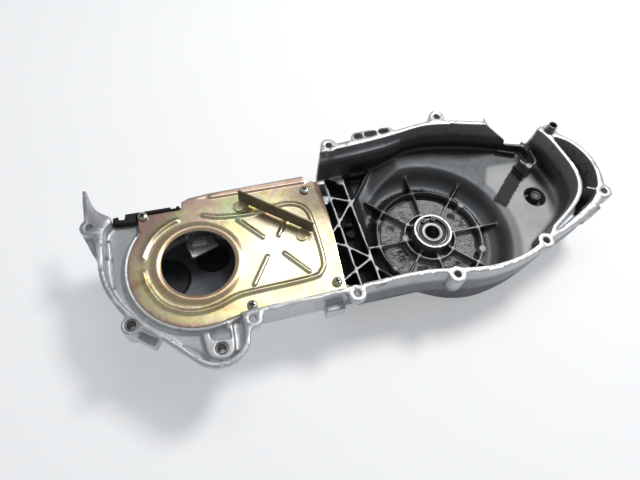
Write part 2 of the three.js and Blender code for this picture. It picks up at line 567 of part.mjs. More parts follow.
// Deep-groove ball bearing with a seal on its open side.
function bearingParts() {
  const top = BEARING_TOP;
  const bottom = top - BEARING.width;
  const middle = (top + bottom) / 2;
  const pitch = (BEARING.outside + BEARING.bore) / 4;
  const ball = BEARING.ball / 2;
  const groove = ball + 0.25;
  const innerFace = 10.8;
  const outerFace = 14.9;
  const raceway = (face, sign) => {
    const half = Math.sqrt(groove ** 2 - (face - pitch) ** 2);
    return Array.from({ length: 5 }, (_, i) => {
      const z = half * (i / 2 - 1);
      return [pitch + sign * Math.sqrt(groove ** 2 - z ** 2), middle + z];
    });
  };
  const inner = turned([0, 0], [[BEARING.bore / 2, bottom], [innerFace, bottom], ...raceway(innerFace, -1),
    [innerFace, top], [BEARING.bore / 2, top]], 40);
  const outer = turned([0, 0], [[outerFace, bottom], [BEARING.outside / 2, bottom], [BEARING.outside / 2, top],
    [outerFace, top], ...raceway(outerFace, 1).reverse()], 40);
  const angles = Array.from({ length: BEARING.balls }, (_, i) => 360 * i / BEARING.balls);
  const balls = angles.map((degrees) => {
    const [x, y] = polar(pitch, degrees);
    return toSolid(new THREE.SphereGeometry(ball, 12, 8).translate(x, y, middle));
  });
  const cage = tube([0, 0], pitch + 1, pitch - 1, middle - 4.3, middle + 0.6, 40)
    .subtract(joined(angles.map((degrees) => {
      const [x, y] = polar(pitch, degrees);
      return toSolid(new THREE.SphereGeometry(ball + 0.4, 12, 8).translate(x, y, middle));
    })));
  const seal = tube([0, 0], outerFace - GAP, innerFace + GAP, top - 1.6, top - 0.6, 40);
  return { inner, outer, balls, cage, seal };
}

// Internal retaining ring with a plier lug at each end.
function circlip() {
  const bottom = BEARING_TOP + GAP + 0.15;
  const gap = prism(outline([[0, 0], [5.5, 24], [-5.5, 24]]), bottom - 1, bottom + 3);
  const ring = tube([0, 0], BEARING.outside / 2 + 1.1, BEARING.outside / 2 - 1.6, bottom, bottom + 1.5, 48);
  const lugs = [-1, 1].map((side) => rod([side * 5.6, 14.3], 2.6, bottom, bottom + 1.5, 16)
    .subtract(rod([side * 5.6, 14], 1, bottom - 1, bottom + 3, 12)));
  return joined([ring.subtract(gap), ...lugs]);
}

// Flanged plug at the bottom of the hole in the rear floor.
function floorPlug() {
  const bottom = PLUG_SEAT + GAP;
  return turned(FLOOR_HOLE, [
    [0, bottom], [9.5, bottom], [9.5, bottom + 1.5], [6.4, bottom + 2], [6.4, bottom + 14],
    [5.4, bottom + 15], [4.2, bottom + 15], [3.8, bottom + 13.6], [0, bottom + 13.6],
  ], 28);
}

// ---- assembly ---------------------------------------------------------------------------
const FINISH = {
  casting: [0xa9adb0, 0.5, 0.85], plate: [0xc9b06a, 0.35, 0.9], bracket: [0x5a4d38, 0.45, 0.85],
  rubber: [0x151515, 0.85, 0], steel: [0xb9bcc0, 0.25, 1], screw: [0xa7a8a6, 0.4, 0.95],
  seal: [0x4a4845, 0.7, 0.1], brass: [0xa68f4a, 0.4, 0.9],
};
const group = new THREE.Group();

function piece(name, solid, [color, roughness, metalness]) {
  const material = new THREE.MeshStandardMaterial({ color, roughness, metalness });
  const mesh = new THREE.Mesh(toGeometry(solid), material);
  mesh.name = name;
  group.add(mesh);
}

piece('cover_casting', coverCasting(), FINISH.casting);
piece('air_duct_plate', airDuctPlate(), FINISH.plate);
piece('deflector_bracket', deflectorBracket(), FINISH.bracket);
piece('duct_seal', ductSeal(), FINISH.rubber);
PLATE_SCREWS.forEach((at, i) => piece(`plate_screw_${i + 1}`, plateScrew(at), FINISH.screw));
const bearing = bearingParts();
piece('bearing_outer_ring', bearing.outer, FINISH.steel);
piece('bearing_inner_ring', bearing.inner, FINISH.steel);
piece('bearing_cage', bearing.cage, FINISH.brass);
piece('bearing_seal', bearing.seal, FINISH.seal);
bearing.balls.forEach((ball, i) => piece(`bearing_ball_${i + 1}`, ball, FINISH.steel));
piece('bearing_circlip', circlip(), FINISH.screw);
piece('dowel_front', dowel([-302, -49], -0.8, 8.8), FINISH.screw);
piece('dowel_bulge', dowel(BULGE_BORE, PLATE_SEAT - 2, 9), FINISH.screw);
piece('dowel_rear', dowel([163, 78.5], 8, 17.6), FINISH.screw);
piece('floor_plug', floorPlug(), FINISH.screw);

// Stand the part on its lowest face, centred over the origin.
const bounds = new THREE.Box3().setFromObject(group);
const centre = bounds.getCenter(new THREE.Vector3());
group.position.set(-centre.x, -centre.y, -bounds.min.z);
group.updateMatrixWorld(true);

export default group;
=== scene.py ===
# The belt-case cover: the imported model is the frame, and the pieces seen are made here as finer
# meshes with procedural materials. Lengths in this file are millimetres in the design frame of the
# part (bearing axis at x = y = 0, machined mating face at z = 0) until `row` turns them into metres.
import json
import math

import bmesh
import bpy
import numpy as np
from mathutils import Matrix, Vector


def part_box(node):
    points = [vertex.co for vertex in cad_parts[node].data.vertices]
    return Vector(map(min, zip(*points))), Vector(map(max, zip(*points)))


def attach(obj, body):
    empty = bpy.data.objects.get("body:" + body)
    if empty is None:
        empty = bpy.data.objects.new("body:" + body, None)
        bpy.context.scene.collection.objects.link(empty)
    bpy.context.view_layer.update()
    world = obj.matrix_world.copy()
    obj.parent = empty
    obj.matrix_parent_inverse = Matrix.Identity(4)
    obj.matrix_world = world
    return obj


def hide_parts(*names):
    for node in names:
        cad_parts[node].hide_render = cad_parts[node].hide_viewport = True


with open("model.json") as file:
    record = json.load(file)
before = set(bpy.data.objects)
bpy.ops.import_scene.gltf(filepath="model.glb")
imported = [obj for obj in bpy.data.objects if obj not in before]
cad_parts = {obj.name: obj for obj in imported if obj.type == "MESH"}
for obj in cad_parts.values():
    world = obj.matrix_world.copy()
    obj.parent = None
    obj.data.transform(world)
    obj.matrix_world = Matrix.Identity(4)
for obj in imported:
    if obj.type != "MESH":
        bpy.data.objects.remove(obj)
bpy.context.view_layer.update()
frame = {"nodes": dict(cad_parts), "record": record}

import openvdb
from mathutils import Matrix, Vector
from mathutils.geometry import delaunay_2d_cdt

RECORD = frame["record"]
MM = 0.001


def middle(node):
    low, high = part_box(node)
    return (low + high) / 2


MATING_FACE = next(m for m in RECORD["mounts"] if m["name"] == "mating_flange")["pos_m"][2]
ORIGIN = Vector((middle("bearing_outer_ring").x, middle("bearing_outer_ring").y, MATING_FACE))

# ---- driving dimensions, as in the part ---------------------------------------------------
FAN = np.array((-240.0, 0.0))
FAN_RADIUS = 53.0
INLET_RADIUS = 33.0
COLLAR_RADIUS = 41.0
PLATE_TOP = -6.0
PLATE_THICKNESS = 1.2
PLATE_RADIUS = 62.0
PLATE_SCREWS = [(-283.3, 57.8), (-126.8, 57.0), (-122.2, -47.0), (-201.2, -52.2)]
FLOOR_HOLE = (134.5, 20.0)
WELL = (0.0, 0.0)       # axis of the clutch well, its boss and the bearing
DOME = (22.0, 0.0)      # axis of the dome under the clutch well
SPOKES = 8
CASE_BOTTOM = -76.0
BEARING_TOP = -37.6
BEARING = {"outside": 35.0, "bore": 15.0, "width": 11.0, "ball": 5.9, "balls": 8}
GAP = 0.3


def row(points):
    """Design millimetres to metres in the row frame."""
    return np.asarray(points, float) * MM + np.array(ORIGIN)


def design(points):
    return (np.asarray(points, float) - np.array(ORIGIN)) / MM


# ---- mesh helpers -------------------------------------------------------------------------
def mesh_object(name, points, faces, sharp_degrees=35):
    mesh = bpy.data.meshes.new(name)
    mesh.from_pydata([tuple(p) for p in row(points)], [], [tuple(f) for f in faces])
    mesh.validate()
    piece = bpy.data.objects.new(name, mesh)
    bpy.context.scene.collection.objects.link(piece)
    shade(piece, sharp_degrees)
    return piece


def shade(piece, sharp_degrees):
    mesh = piece.data
    mesh.polygons.foreach_set("use_smooth", np.ones(len(mesh.polygons), bool))
    mesh.set_sharp_from_angle(angle=math.radians(sharp_degrees))
    mesh.update()


def apply_modifiers(piece):
    graph = bpy.context.evaluated_depsgraph_get()
    mesh = bpy.data.meshes.new_from_object(piece.evaluated_get(graph))
    piece.modifiers.clear()
    piece.data = mesh
    return piece


def face_outwards(piece, drop_loose=False):
    work = bmesh.new()
    work.from_mesh(piece.data)
    if drop_loose:
        bmesh.ops.delete(work, geom=[v for v in work.verts if not v.link_faces], context="VERTS")
    bmesh.ops.recalc_face_normals(work, faces=work.faces)
    work.to_mesh(piece.data)
    work.free()


def bevel_edges(piece, width, segments, from_degrees):
    bevel = piece.modifiers.new("edges", "BEVEL")
    bevel.width = width * MM
    bevel.segments = segments
    bevel.limit_method = "ANGLE"
    bevel.angle_limit = math.radians(from_degrees)
    apply_modifiers(piece)


def fit(piece, body, slot, material, *nodes):
    piece.data.materials.clear()
    piece.data.materials.append(material)
    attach(piece, body)
    if nodes:
        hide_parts(*nodes)
    return piece


def lathe(name, centre, profile, segments=96, sharp_degrees=30):
    """A closed ring or disc turned about a vertical axis from (radius, z) points; 0 is on the axis."""
    angles = np.linspace(0, 2 * math.pi, segments, endpoint=False)
    points, rings = [], []
    for radius, z in profile:
        if radius <= 0:
            rings.append([len(points)] * segments)
            points.append((centre[0], centre[1], z))
        else:
            rings.append(list(range(len(points), len(points) + segments)))
            points += [
                (centre[0] + radius * math.cos(a), centre[1] + radius * math.sin(a), z) for a in angles
            ]
    closed = profile[0][0] > 0
    pairs = list(zip(rings, rings[1:] + rings[:1])) if closed else list(zip(rings, rings[1:]))
    faces = []
    for lower, upper in pairs:
        for i in range(segments):
            j = (i + 1) % segments
            corners = [lower[i], lower[j], upper[j], upper[i]]
            faces.append([c for k, c in enumerate(corners) if c not in corners[:k]])
    return mesh_object(name, points, faces, sharp_degrees)


def rounded(corners, radius=0.5, steps=4):
    """The closed profile with each corner rounded."""
    out = []
    count = len(corners)
    for i, corner in enumerate(corners):
        here = np.array(corner, float)
        before = np.array(corners[i - 1], float) - here
        after = np.array(corners[(i + 1) % count], float) - here
        reach = min(radius, np.linalg.norm(before) * 0.45, np.linalg.norm(after) * 0.45)
        start = here + before / np.linalg.norm(before) * reach
        end = here + after / np.linalg.norm(after) * reach
        for t in np.linspace(0, 1, steps + 1):
            out.append(tuple((1 - t) ** 2 * start + 2 * t * (1 - t) * here + t ** 2 * end))
    return out


def softened(name, node, radius, dissolve=1.0, segments=3):
    """A copy of a CAD node with its flat faces merged and its edges rounded."""
    mesh = frame["nodes"][node].data.copy()
    mesh.name = name
    work = bmesh.new()
    work.from_mesh(mesh)
    bmesh.ops.remove_doubles(work, verts=work.verts, dist=2e-6)
    bmesh.ops.dissolve_limit(work, angle_limit=math.radians(dissolve), verts=work.verts, edges=work.edges)
    work.to_mesh(mesh)
    work.free()
    piece = bpy.data.objects.new(name, mesh)
    bpy.context.scene.collection.objects.link(piece)
    bevel_edges(piece, radius, segments, 40)
    shade(piece, 35)
    return piece


# ---- shader helpers -----------------------------------------------------------------------
class Shader:
    """A Principled material built up from the place on the part, in design millimetres."""

    def __init__(self, name, metallic=1.0, roughness=0.4, ior=1.5):
        self.material = bpy.data.materials.new(name)
        self.material.use_nodes = True
        self.tree = self.material.node_tree
        self.bsdf = self.tree.nodes["Principled BSDF"]
        self.bsdf.inputs["Metallic"].default_value = metallic
        self.bsdf.inputs["Roughness"].default_value = roughness
        self.bsdf.inputs["IOR"].default_value = ior
        coordinates = self.add("ShaderNodeTexCoord").outputs["Object"]
        self.place = self.vector("MULTIPLY_ADD", coordinates, (1000,) * 3, tuple(-c / MM for c in ORIGIN))
        split = self.add("ShaderNodeSeparateXYZ", {0: self.place})
        self.x, self.y, self.z = split.outputs

    def add(self, kind, inputs=None, **settings):
        node = self.tree.nodes.new(kind)
        for key, value in settings.items():
            setattr(node, key, value)
        for key, value in (inputs or {}).items():
            self.put(node.inputs[key], value)
        return node

    def put(self, socket, value):
        if isinstance(value, bpy.types.NodeSocket):
            self.tree.links.new(value, socket)
        elif socket.type == "RGBA" and len(value) == 3:
            socket.default_value = (*value, 1)
        else:
            socket.default_value = value

    def vector(self, operation, *values):
        node = self.add("ShaderNodeVectorMath", dict(enumerate(values)), operation=operation)
        return node.outputs["Value" if operation in ("LENGTH", "DISTANCE") else "Vector"]

    def math(self, operation, *values):
        return self.add("ShaderNodeMath", dict(enumerate(values)), operation=operation).outputs[0]

    def rise(self, value, low, high):
        """0 below low, 1 above high, smooth between; with low above high it falls."""
        names = {"Value": value, "From Min": low, "From Max": high}
        if low > high:
            names = {"Value": value, "From Min": high, "From Max": low, "To Min": 1.0, "To Max": 0.0}
        return self.add("ShaderNodeMapRange", names, interpolation_type="SMOOTHSTEP").outputs["Result"]

    def window(self, value, low, high, soft=0.5):
        return self.math("MULTIPLY", self.rise(value, low - soft, low + soft),
                         self.rise(value, high + soft, high - soft))

    def all_of(self, *masks):
        total = masks[0]
        for mask in masks[1:]:
            total = self.math("MULTIPLY", total, mask)
        return total

    def radius(self, centre):
        flat = self.vector("MULTIPLY", self.place, (1, 1, 0))
        return self.vector("DISTANCE", flat, (*centre, 0))

    def noise(self, size, detail=4.0, roughness=0.55, distortion=0.0, stretch=(1, 1, 1)):
        """Noise whose features are about `size` millimetres across."""
        where = self.vector("MULTIPLY", self.place, tuple(s / size for s in stretch))
        return self.add("ShaderNodeTexNoise", {
            "Vector": where,
            "Scale": 1.0,
            "Detail": detail,
            "Roughness": roughness,
            "Distortion": distortion,
        }).outputs["Fac"]

    def ramp(self, value, stops):
        node = self.add("ShaderNodeValToRGB", {0: value})
        elements = node.color_ramp.elements
        while len(elements) < len(stops):
            elements.new(0.5)
        for element, (position, colour) in zip(elements, stops):
            element.position = position
            element.color = (*colour, 1) if isinstance(colour, tuple) else (*(colour,) * 3, 1)
        return node.outputs[0]

    def mix(self, share, a, b):
        """Colour a where share is 0 and colour b where it is 1."""
        node = self.add("ShaderNodeMix", data_type="RGBA")
        self.put(node.inputs[0], share)
        self.put(node.inputs[6], a)
        self.put(node.inputs[7], b)
        return node.outputs[2]

    def tint(self, colour, mask, amount, other):
        """The other colour over the first one, `amount` strong where the mask is 1."""
        return self.mix(self.math("MULTIPLY", mask, amount), colour, other)

    def blend(self, share, a, b):
        """The same as mix, for numbers."""
        node = self.add("ShaderNodeMix", data_type="FLOAT")
        for index, value in ((0, share), (2, a), (3, b)):
            self.put(node.inputs[index], value)
        return node.outputs[0]

    def finish(self, colour=None, roughness=None, metallic=None, heights=()):
        """heights: (height in 0..1, depth in mm) pairs that are stacked as bumps."""
        for name, value in (("Base Color", colour), ("Roughness", roughness), ("Metallic", metallic)):
            if value is not None:
                self.put(self.bsdf.inputs[name], value)
        normal = None
        for height, depth in heights:
            bump = self.add("ShaderNodeBump", {"Strength": 1.0, "Distance": depth * MM, "Height": height})
            if normal is not None:
                self.put(bump.inputs["Normal"], normal)
            normal = bump.outputs["Normal"]
        if normal is not None:
            self.put(self.bsdf.inputs["Normal"], normal)
        return self.material


# ---- materials ----------------------------------------------------------------------------
def painted_inside_shade(s, colour):
    """Painted shade: darker everywhere more than 12 mm below the mating face between the fan end and the
    rear, and darkest on the ledge along the far wall as that wall's painted shadow.
    """
    # painted shade standing in for the dimness inside the case
    inside_case = s.all_of(s.rise(s.z, -12, -22), s.window(s.x, -118, 190, 3))
    colour = s.tint(colour, inside_case, 0.75, (0.13, 0.137, 0.145))
    # painted shadow of the far wall on the ledge
    ledge = s.all_of(s.rise(s.z, -25, -34), s.rise(s.x, -66, -60), s.rise(s.y, 20, 45))
    return s.tint(colour, ledge, 0.8, (0.055, 0.058, 0.06))


def rear_floor(s, colour, blotch, sand):
    """Painted light and shade on the rear floor: a bright patch where light falls in over the low stretch of
    wall, painted shade on the cone beside it, and a dark strip from the hook to the well as the hook's
    painted shadow.
    """
    slant = s.math("SUBTRACT", s.x, s.math("MULTIPLY", s.y, 0.5))
    # painted light: the bright patch where light comes in over the low wall
    painted_light_patch = s.all_of(s.rise(s.z, -25, -38), s.rise(slant, 58, 65), s.rise(s.y, 72, 66),
                    s.rise(s.radius((160, 44)), 10, 22))
    patch_light_colour = s.ramp(blotch, [(0.3, (0.27, 0.275, 0.28)), (0.7, (0.37, 0.375, 0.38))])
    colour = s.mix(painted_light_patch, colour, patch_light_colour)
    # painted shade on the cone below the far wall
    cone = s.all_of(s.window(s.radius(WELL), 62, 98, 3), s.rise(s.z, -37.5, -41))
    colour = s.tint(colour, cone, 0.8, (0.10, 0.105, 0.11))

    cos, sin = 0.748, 0.664     # the way the hook's painted shadow runs, seen from above, along the light
    wander = s.math("MULTIPLY", s.math("SUBTRACT", sand, 0.5), 5)
    across = s.math("SUBTRACT", s.math("MULTIPLY", s.x, sin), s.math("MULTIPLY", s.y, cos))
    across = s.math("ADD", wander, across)
    along = s.math("ADD", s.math("MULTIPLY", s.x, cos), s.math("MULTIPLY", s.y, sin))
    # painted shadow of the hook, laid on the floor as a dark strip
    hook_shadow = s.all_of(s.window(across, 37, 53, 0.8), s.window(along, 79, 142, 1.5), s.rise(s.z, -36.5, -38))
    return s.tint(colour, hook_shadow, 0.93, (0.035, 0.036, 0.038)), painted_light_patch, hook_shadow


def well_floor(s, colour):
    """Rough-cast sectors with streaks of dust, a ragged dark ring round the ribs, and painted shade in the
    gutter between the sectors and the ring.
    """
    well = s.radius(WELL)
    sector = s.all_of(s.window(well, 30.5, 52, 0.5), s.rise(s.z, -52.6, -53.4))
    streak = s.noise(3.2, 5, 0.75, 1.2, stretch=(0.35, 1.4, 1))
    speckle = s.noise(1.7, 3, 0.8, 0.5)
    patchy = s.noise(24, 2)
    wear = s.math("ADD", s.math("MULTIPLY", streak, 0.75), s.math("MULTIPLY", patchy, 0.5))
    speckled = s.ramp(speckle, [(0.35, 0.22), (0.62, 0.74)])
    colour = s.mix(sector, colour, s.mix(s.rise(wear, 0.46, 0.62), (0.035, 0.035, 0.035), speckled))

    ragged = s.noise(2.6, 5, 0.8, 1.0)
    edge = s.math("ADD", well, s.math("MULTIPLY", s.math("SUBTRACT", ragged, 0.5), 16))
    ring = s.all_of(s.window(edge, 59.5, 67, 0.9), s.rise(s.z, -49, -52), s.rise(s.y, -60, 10))
    colour = s.tint(colour, ring, 0.93, (0.012, 0.012, 0.012))
    # painted shade in the gutter round the sectors
    gutter = s.all_of(s.window(well, 52, 66, 1.5), s.rise(s.z, -50, -55))
    colour = s.tint(colour, gutter, 0.5, (0.05, 0.05, 0.05))
    return colour, sector, ring, s.math("ADD", streak, speckle)


def fan_chamber(s, colour):
    """A dark blue-grey floor, and its two hollows darkened nearly to black as painted shade."""
    chamber = s.all_of(s.rise(s.radius(tuple(FAN)), FAN_RADIUS + 1, FAN_RADIUS), s.rise(s.z, -34, -52))
    colour = s.tint(colour, chamber, 0.8, (0.085, 0.10, 0.115))
    # painted shade: the two hollows darkened nearly to black
    hollow = s.all_of(chamber, s.rise(s.z, -56.6, -57.6))
    return s.tint(colour, hollow, 0.75, (0.035, 0.04, 0.044))


def machined_faces(s, colour, stain):
    """The flange and the boss: bright, with faint tool marks and dark dings."""
    flange = s.rise(s.z, -0.28, -0.12)
    boss = s.all_of(s.rise(s.radius(WELL), 21.5, 20.8), s.rise(s.z, -35.6, -35.2))
    machined = s.math("MAXIMUM", flange, boss)
    tool = s.add("ShaderNodeTexWave", {
        "Vector": s.place,
        "Scale": 0.55,
        "Distortion": 3.0,
        "Detail": 2.0,
        "Detail Scale": 0.2,
    }, wave_type="RINGS", rings_direction="Z").outputs["Fac"]
    ding = s.noise(3.1, 4, 0.7, 0.8)
    scar = s.noise(26, 3, 0.6)
    battered = s.all_of(s.rise(ding, 0.60, 0.66), s.rise(scar, 0.44, 0.56))
    bright = s.mix(tool, (0.58, 0.585, 0.595), (0.68, 0.685, 0.69))
    bright = s.tint(bright, s.rise(stain, 0.5, 0.7), 0.35, (0.58, 0.585, 0.59))
    bright = s.tint(bright, battered, 0.75, (0.22, 0.22, 0.22))
    return s.mix(machined, colour, bright), machined, battered


def casting_material():
    s = Shader("cast_aluminium", metallic=0.9, roughness=0.5)
    blotch = s.noise(45, 5, 0.6)
    stain = s.noise(14, 6, 0.62, 0.6)
    grain = s.noise(0.9, 3, 0.6)
    sand = s.noise(2.6, 4, 0.6)
    colour = s.ramp(blotch, [(0.3, (0.50, 0.51, 0.52)), (0.7, (0.64, 0.65, 0.66))])
    colour = s.mix(s.rise(stain, 0.56, 0.72), colour, (0.25, 0.245, 0.235))
    colour = s.tint(colour, s.rise(sand, 0.45, 0.75), 0.35, (0.30, 0.30, 0.30))
    # painted light: the fan end of the casting lightened
    fan_end = s.rise(s.x, -112, -150)
    colour = s.tint(colour, fan_end, 0.3, (0.74, 0.75, 0.76))
    colour = painted_inside_shade(s, colour)
    colour, lit_floor_patch, hook_shadow = rear_floor(s, colour, blotch, sand)
    # painted shade and dirt: the grid pockets between the ribs darkened nearly to black
    pocket = s.all_of(s.window(s.x, -116, -60, 1.5), s.rise(s.z, -47.6, -49.5))
    colour = s.tint(colour, pocket, 0.88, (0.045, 0.045, 0.048))
    colour, sector, ring, rough_cast = well_floor(s, colour)
    colour = fan_chamber(s, colour)
    colour, machined, battered = machined_faces(s, colour, stain)
    # painted light: the tops of the grid ribs kept lighter than the shaded pockets
    rib_top = s.all_of(s.window(s.x, -112, -57, 1), s.window(s.z, -47.5, -45.5, 0.4))
    colour = s.tint(colour, rib_top, 0.8, (0.44, 0.445, 0.45))

    rough = s.blend(stain, 0.38, 0.62)
    ring_and_pocket = s.math("MAXIMUM", ring, pocket)
    for mask, value in ((machined, 0.46), (sector, 0.8), (ring_and_pocket, 0.85), (lit_floor_patch, 0.6), (hook_shadow, 0.7)):
        rough = s.blend(mask, rough, value)
    as_cast = s.math("SUBTRACT", 1.0, machined)
    return s.finish(colour, rough, s.blend(machined, 0.88, 0.92), [
        (s.math("MULTIPLY", grain, as_cast), 0.14),
        (s.math("MULTIPLY", sand, as_cast), 0.12),
        (s.math("MULTIPLY", rough_cast, sector), 1.1),
        (s.math("MULTIPLY", battered, machined), -0.12),
    ])


def plate_material():
    s = Shader("yellow_zinc", metallic=1.0, roughness=0.3)
    hue = s.noise(38, 3, 0.5, 1.4)
    fine = s.noise(9, 4, 0.6, 0.8)
    film = s.math("ADD", s.math("MULTIPLY", hue, 0.85), s.math("MULTIPLY", fine, 0.15))
    colour = s.ramp(film, [
        (0.28, (0.60, 0.44, 0.22)), (0.38, (0.78, 0.56, 0.32)), (0.45, (0.88, 0.80, 0.40)),
        (0.52, (0.92, 0.84, 0.50)), (0.59, (0.84, 0.58, 0.46)), (0.66, (0.70, 0.80, 0.46)),
        (0.74, (0.90, 0.74, 0.52)),
    ])
    # paler in the middle of the panel as a painted reflection, coppery round the inlet, and darker at the
    # corners and the fold as painted shade
    fan = s.radius(tuple(FAN))
    fold_line = s.math("ADD", s.x, s.math("MULTIPLY", s.y, 0.095))
    speck = s.noise(2.2, 3, 0.7)
    dirt = s.all_of(s.rise(speck, 0.62, 0.69), s.rise(s.y, -25, -45), s.rise(s.x, -190, -160))
    scratch = s.noise(2.5, 3, 0.6, 0.3, stretch=(0.12, 2.2, 1))
    for mask, amount, other in (
        # painted reflection: the middle of the panel paler
        (s.rise(s.radius((-165, 0)), 62, 12), 0.75, (0.93, 0.88, 0.66)),
        (s.window(fan, INLET_RADIUS - 1, COLLAR_RADIUS + 0.5, 1.5), 0.55, (0.88, 0.58, 0.42)),
        # painted shade: the corners darker
        (s.rise(s.radius((-283, 55)), 42, 6), 0.7, (0.46, 0.32, 0.22)),
        (s.rise(s.radius((-118, 48)), 44, 8), 0.8, (0.30, 0.24, 0.19)),
        (s.rise(s.y, 61, 67), 0.7, (0.85, 0.60, 0.54)),
        (s.all_of(s.rise(fan, 55, 61), s.rise(s.x, -225, -240)), 0.6, (0.74, 0.46, 0.42)),
        (s.rise(s.radius((-200, 48)), 22, 4), 0.55, (0.52, 0.78, 0.46)),
        (dirt, 0.7, (0.10, 0.07, 0.04)),
        (s.rise(scratch, 0.66, 0.72), 0.25, (0.9, 0.88, 0.8)),
        # painted shade on the folded-down edge
        (s.all_of(s.rise(fold_line, -111.6, -110.9), s.rise(s.y, 1, 4)), 0.85, (0.20, 0.13, 0.10)),
    ):
        colour = s.tint(colour, mask, amount, other)
    rough = s.blend(dirt, s.blend(fine, 0.22, 0.34), 0.7)
    wave = s.noise(30, 2, 0.4)
    return s.finish(colour, rough, None, [(wave, 0.5), (s.noise(0.8, 2, 0.5), 0.008)])


def bracket_material():
    s = Shader("yellow_zinc_shaded_web", metallic=0.9, roughness=0.42)
    cloud = s.noise(12, 4, 0.6, 0.6)
    # painted shade: the upright web is the same zinc as the feet, darkened to olive
    shaded_web = s.ramp(cloud, [
        (0.3, (0.16, 0.13, 0.10)), (0.55, (0.24, 0.20, 0.155)), (0.75, (0.20, 0.19, 0.14)),
    ])
    cream = s.ramp(cloud, [(0.3, (0.70, 0.60, 0.36)), (0.7, (0.90, 0.84, 0.62))])
    foot = s.rise(s.z, PLATE_TOP + 2.6, PLATE_TOP + 1.9)
    colour = s.mix(foot, shaded_web, cream)
    return s.finish(colour, s.blend(cloud, 0.36, 0.5), None, [(s.noise(1.2, 3), 0.03)])


def rubber_material(name, colour, roughness=0.75):
    s = Shader(name, metallic=0.0, roughness=roughness)
    dust = s.noise(6, 5, 0.65)
    ring_and_pocket = s.tint(colour, s.rise(dust, 0.5, 0.75), 0.35, tuple(min(1, c * 3.2) for c in colour))
    rough = s.blend(dust, roughness - 0.12, roughness + 0.12)
    return s.finish(ring_and_pocket, rough, None, [(s.noise(0.7, 3), 0.04)])


def steel_material(name, low, high, roughness, stain=0.3):
    s = Shader(name, metallic=1.0, roughness=roughness)
    cloud = s.noise(5, 4, 0.6, 0.5)
    fine = s.noise(0.6, 3, 0.6)
    colour = s.ramp(cloud, [(0.3, low), (0.7, high)])
    colour = s.tint(colour, s.rise(fine, 0.55, 0.75), stain, tuple(c * 0.3 for c in low))
    return s.finish(colour, s.blend(cloud, roughness * 0.8, roughness * 1.3), None, [(fine, 0.012)])


def screw_material():
    """Zinc, with the cross recess darkened nearly to black."""
    s = Shader("zinc_screw_head", metallic=1.0, roughness=0.34)
    cloud = s.noise(5, 4, 0.6, 0.5)
    colour = s.ramp(cloud, [(0.3, (0.50, 0.48, 0.42)), (0.7, (0.70, 0.69, 0.64))])
    seat = PLATE_TOP + GAP
    recess = 0.0
    for at in PLATE_SCREWS:
        recess = s.math("MAXIMUM", recess, s.rise(s.radius(at), 3.0, 2.6))
    recess = s.all_of(recess, s.rise(s.z, seat + 2.5, seat + 2.0))
    colour = s.tint(colour, recess, 0.92, (0.03, 0.028, 0.025))
    return s.finish(colour, s.blend(cloud, 0.28, 0.44), None, [(s.noise(0.6, 3), 0.01)])


MATERIALS = {
    "casting": casting_material(),
    "plate": plate_material(),
    "bracket": bracket_material(),
    "rubber": rubber_material("black_rubber", (0.012, 0.012, 0.012)),
    "seal": rubber_material("grey_seal_rubber", (0.045, 0.043, 0.040), 0.6),
    "steel": steel_material("bearing_steel", (0.17, 0.172, 0.175), (0.26, 0.263, 0.266), 0.42),
    "cage": steel_material("cage_steel", (0.42, 0.38, 0.30), (0.55, 0.50, 0.40), 0.38),
    "zinc": steel_material("dull_zinc", (0.24, 0.235, 0.22), (0.38, 0.37, 0.35), 0.46, 0.5),
    "oily": steel_material("oily_steel", (0.07, 0.07, 0.072), (0.13, 0.13, 0.135), 0.5, 0.5),
    "head": screw_material(),
}


# ---- the casting --------------------------------------------------------------------------
FILLET = 1.3            # radius in the casting's inner corners
EDGE_RADIUS = 0.15      # radius on its outer edges
VOXEL = 0.75
MOST_TRIANGLES = 190_000
WALL_ROUNDS = 40        # rounds of relaxing on the turned walls
FOOT_ROUNDS = 130       # and where the rear wall meets its floor
MATING_SNAP = 0.32      # points this close to the mating face or the resting face are put on it
RESTING_SNAP = 0.35
CONE_HEIGHTS = (-56, -38, 1.5)      # low, high and soft: from the well's floor up to the rear floor
# the foot of the wall round the rear floor
REAR_WALL = [
    (98, -45), (106, -36.5), (129, -23), (146, -10.5), (156, 1.5), (161, 14), (162, 30), (159.5, 48),
    (156, 66),
]


def offset(points, distance, triangles=None, quads=None):
    """The surface at a distance outside the closed one that is given, or inside it if negative."""
    grid = openvdb.FloatGrid.createLevelSetFromPolygons(
        points.astype(np.float32), triangles=triangles, quads=quads,
        transform=openvdb.createLinearTransform(voxelSize=VOXEL), halfWidth=abs(distance) / VOXEL + 2,
    )
    return grid.convertToQuads(isovalue=distance)


def relax(points, edges, share, rounds, strength=0.5):
    """Evens out the points where share is above 0, each towards the middle of its neighbours."""
    moving = share > 0.01
    near = moving.copy()
    touching = edges[moving[edges].any(axis=1)]
    near[touching.ravel()] = True
    kept = np.flatnonzero(near)
    number = np.zeros(len(points), int)
    number[kept] = np.arange(len(kept))
    a, b = number[touching].T
    local = points[kept]
    pull = (share * moving * strength)[kept][:, None]
    size = len(kept)
    count = np.maximum(np.bincount(a, minlength=size) + np.bincount(b, minlength=size), 1)[:, None]
    for _ in range(rounds):
        total = np.stack([
            np.bincount(a, local[b, k], size) + np.bincount(b, local[a, k], size) for k in range(3)
        ], axis=1)
        local = local + pull * (total / count - local)
    out = points.copy()
    out[kept] = local
    return out


def band(values, low, high, soft):
    """1 between low and high, and 0 outside them."""
    return np.clip((values - low) / soft + 0.5, 0, 1) * np.clip((high - values) / soft + 0.5, 0, 1)


